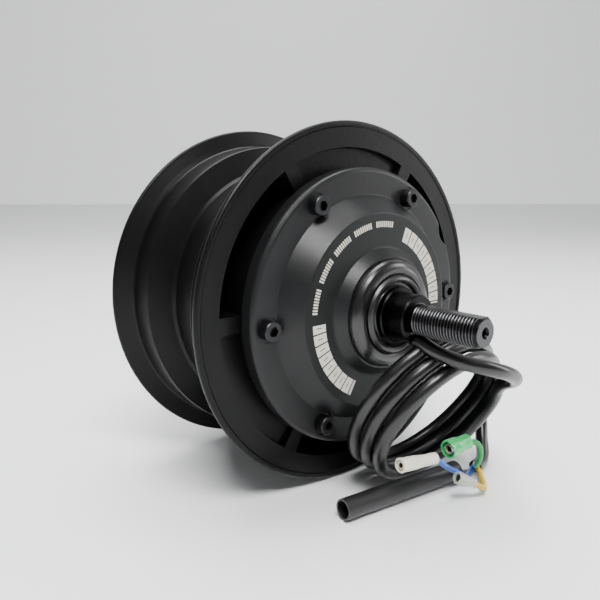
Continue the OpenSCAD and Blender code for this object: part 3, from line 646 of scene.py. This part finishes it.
# %% Finish the cords
def insulate(cord, finish, slot, *replaced):
    """Finishes a cord and puts it in the place of its CAD solids."""
    cord.data.materials.append(finish.material)
    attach(cord, "axle_and_stator")
    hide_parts(*replaced)


jacket = moulding("gloss_jacket", (0.002, 0.002, 0.0022), 0.24, 0.2, grain=0.02, patch=0.2)
insulate(motor_cable, jacket, "cable_jacket", "motor_cable", "motor_cable_coil", "motor_cable_tail")
for lead, tint, roughness, slot, node in (
    (blue_lead, (0.02, 0.12, 0.62), 0.3, "blue_insulation", "blue_phase_lead"),
    (green_lead, (0.01, 0.3, 0.07), 0.3, "green_insulation", "green_phase_lead"),
    (yellow_lead, (0.7, 0.46, 0.03), 0.3, "yellow_insulation", "yellow_phase_lead"),
    (sensor_lead, (0.2, 0.2, 0.21), 0.35, "grey_insulation", "sensor_lead"),
):
    insulate(lead, moulding(slot, tint, roughness), slot, node)
dress(moulding("plug_nylon", (0.78, 0.78, 0.74), 0.4), "sensor_connector")


# %% [markdown]
# ## Sleeves and connectors
# Each phase lead ends in a bullet connector under a soft sleeve. A sleeve is a thin tube that
# has been heated or pushed on, so it swells over the crimp, narrows over the lead, and its edge
# is never quite round. Each one is turned along Y first and then aimed between its two ends.

# %% Aim and wrinkle a turned piece
def aimed(piece, start, end):
    """Aims a piece that was turned from y = 0, from start towards end, both in millimetres."""
    way = Vector(end) - Vector(start)
    turn = way.to_track_quat("Y", "Z").to_matrix().to_4x4()
    piece.data.transform(Matrix.Translation(Vector(start) * MM) @ turn)
    return piece


def wrinkle(piece, depth):
    """Presses soft folds into a sleeve that has been pushed on by hand."""
    for vertex in piece.data.vertices:
        p = vertex.co / MM
        angle = math.atan2(p.z, p.x)
        fold = math.sin(p.y * 2.1 + 2 * angle) + 0.6 * math.sin(p.y * 1.3 - 3 * angle + 1)
        vertex.co.x *= 1 + depth * fold
        vertex.co.z *= 1 + depth * fold
    return piece


# %% Sleeves and bullets
SLEEVE_STEPS = 40
SOFT_WALL = 0.6
SOFT_FOLDS = 0.02
BARREL_END_GAP = 0.6


def sleeve(name, ends, neck, body, finish, node):
    """A soft tube that is narrow over the lead and wide over the connector."""
    length = (Vector(ends[1]) - Vector(ends[0])).length
    swell = [0, 0.1, 0.3, 0.42, 0.5, 0.58, 0.75, 0.92, 0.98, 1]
    width = [neck, neck, neck, neck + 0.1, (neck + body) / 2]
    width += [body - 0.1, body, body, body + 0.1, body - 0.1]
    outside = [(r, length * s) for s, r in zip(swell, width)]
    inside = [(r - SOFT_WALL, y) for r, y in outside[::-1]]
    piece = wrinkle(turned(name, outside + inside + outside[:1], SLEEVE_STEPS), SOFT_FOLDS)
    aimed(piece, *ends)
    piece.data.materials.append(finish.material)
    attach(piece, "axle_and_stator")
    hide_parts(node)
    return piece


def bullet(name, ends, radius, node):
    """A crimped barrel with a waist, a shallow ring groove and a hollow end."""
    length = (Vector(ends[1]) - Vector(ends[0])).length - BARREL_END_GAP
    thin = radius * 0.78
    bore = radius * 0.55
    outline = [
        (0, 2), (thin * 0.9, 2), (thin, 2.4), (thin, length * 0.3),
        (thin * 0.8, length * 0.34), (thin * 0.8, length * 0.4), (thin, length * 0.44),
        (radius, length * 0.5), (radius, length * 0.72), (radius * 0.93, length * 0.75),
        (radius, length * 0.78), (radius, length - 0.3), (radius * 0.9, length),
        (radius * 0.62, length), (bore, length - 0.5), (bore, length * 0.6), (0, length * 0.58),
    ]
    piece = aimed(turned(name, outline, SLEEVE_STEPS), *ends)
    piece.data.materials.append(plated.material)
    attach(piece, "axle_and_stator")
    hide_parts(node)
    return piece


# %% The three connectors
CREAM_ENDS = ((7, -88, -63), (-14, -86, -61))
GREEN_ENDS = ((26, -91, -59), (13, -90, -60))
CLEAR_ENDS = ((24, -97, -77), (15.5, -94, -72.5))
plated = steel("plated_brass", (0.5, 0.47, 0.36), (0.72, 0.69, 0.56), 0.2)
cream_finish = moulding("cream_sleeving", (0.88, 0.84, 0.7), 0.45, grain=0.05)
green_finish = moulding("green_sleeving", (0.03, 0.6, 0.16), 0.25, 0.4, alpha=0.9)
clear_finish = moulding("clear_sleeving", (0.7, 0.76, 0.66), 0.15, 0.5, alpha=0.4)
cream_sleeve = sleeve("cream_sleeve", CREAM_ENDS, 2.6, 3.1, cream_finish, "cream_connector_sleeve")
green_sleeve = sleeve("green_sleeve", GREEN_ENDS, 3.4, 4.2, green_finish, "green_connector_sleeve")
clear_sleeve = sleeve("clear_sleeve", CLEAR_ENDS, 2.4, 2.9, clear_finish, "clear_connector_sleeve")
cream_bullet = bullet("cream_bullet", CREAM_ENDS, 1.9, "cream_connector")
green_bullet = bullet("green_bullet", GREEN_ENDS, 2.7, "green_connector")
clear_bullet = bullet("clear_bullet", CLEAR_ENDS, 1.7, "clear_connector")

# %% The sleeve on the floor
SLEEVE_ENDS = ((-34, -72.5, -80.2), (34, -79.5, -80.2))
SLEEVE_R = 4.75
SLEEVE_WALL = 0.9
SLEEVE_FOLDS = 0.008
SLEEVE_RINGS = 16
sleeve_l = (Vector(SLEEVE_ENDS[1]) - Vector(SLEEVE_ENDS[0])).length
outside = [(SLEEVE_R, sleeve_l * i / SLEEVE_RINGS) for i in range(SLEEVE_RINGS + 1)]
inside = [(SLEEVE_R - SLEEVE_WALL, y) for r, y in outside[::-1]]
floor_sleeve = wrinkle(turned("floor_sleeve", outside + inside + outside[:1], 48), SLEEVE_FOLDS)
aimed(floor_sleeve, *SLEEVE_ENDS)
sleeving = moulding("glass_sleeving", (0.012, 0.012, 0.013), 0.4, 0.1, grain=0.05)
floor_sleeve.data.materials.append(sleeving.material)
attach(floor_sleeve, "axle_and_stator")
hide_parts("cable_sleeve")

# %% [markdown]
# The length of each cord is measured from the curve itself and printed when the curve is made.


# %% [markdown]
# ## The stage's finishes
# The floor is a matt pale board. A very faint noise keeps it from looking like bare light. The
# backdrop's glow is set to the grey that the floor has where the two meet.

# %% Stage finishes
BOARD_DARK, BOARD_PALE = (0.93, 0.935, 0.94), (0.95, 0.955, 0.96)
BACKDROP_COLOUR = (0.8, 0.81, 0.82, 1)
BACKDROP_GLOW = 0.66
board = Finish("pale_board", specular_ior_level=0.2)
grain = board.noise(0.02, 3)
board.paint(base_color=board.mix(grain, BOARD_DARK, BOARD_PALE), roughness=0.6 + grain * 0.1)
floor.data.materials.append(board.material)
lit = Finish("lit_backdrop", emission_color=BACKDROP_COLOUR, emission_strength=BACKDROP_GLOW)
backdrop.data.materials.append(lit.material)
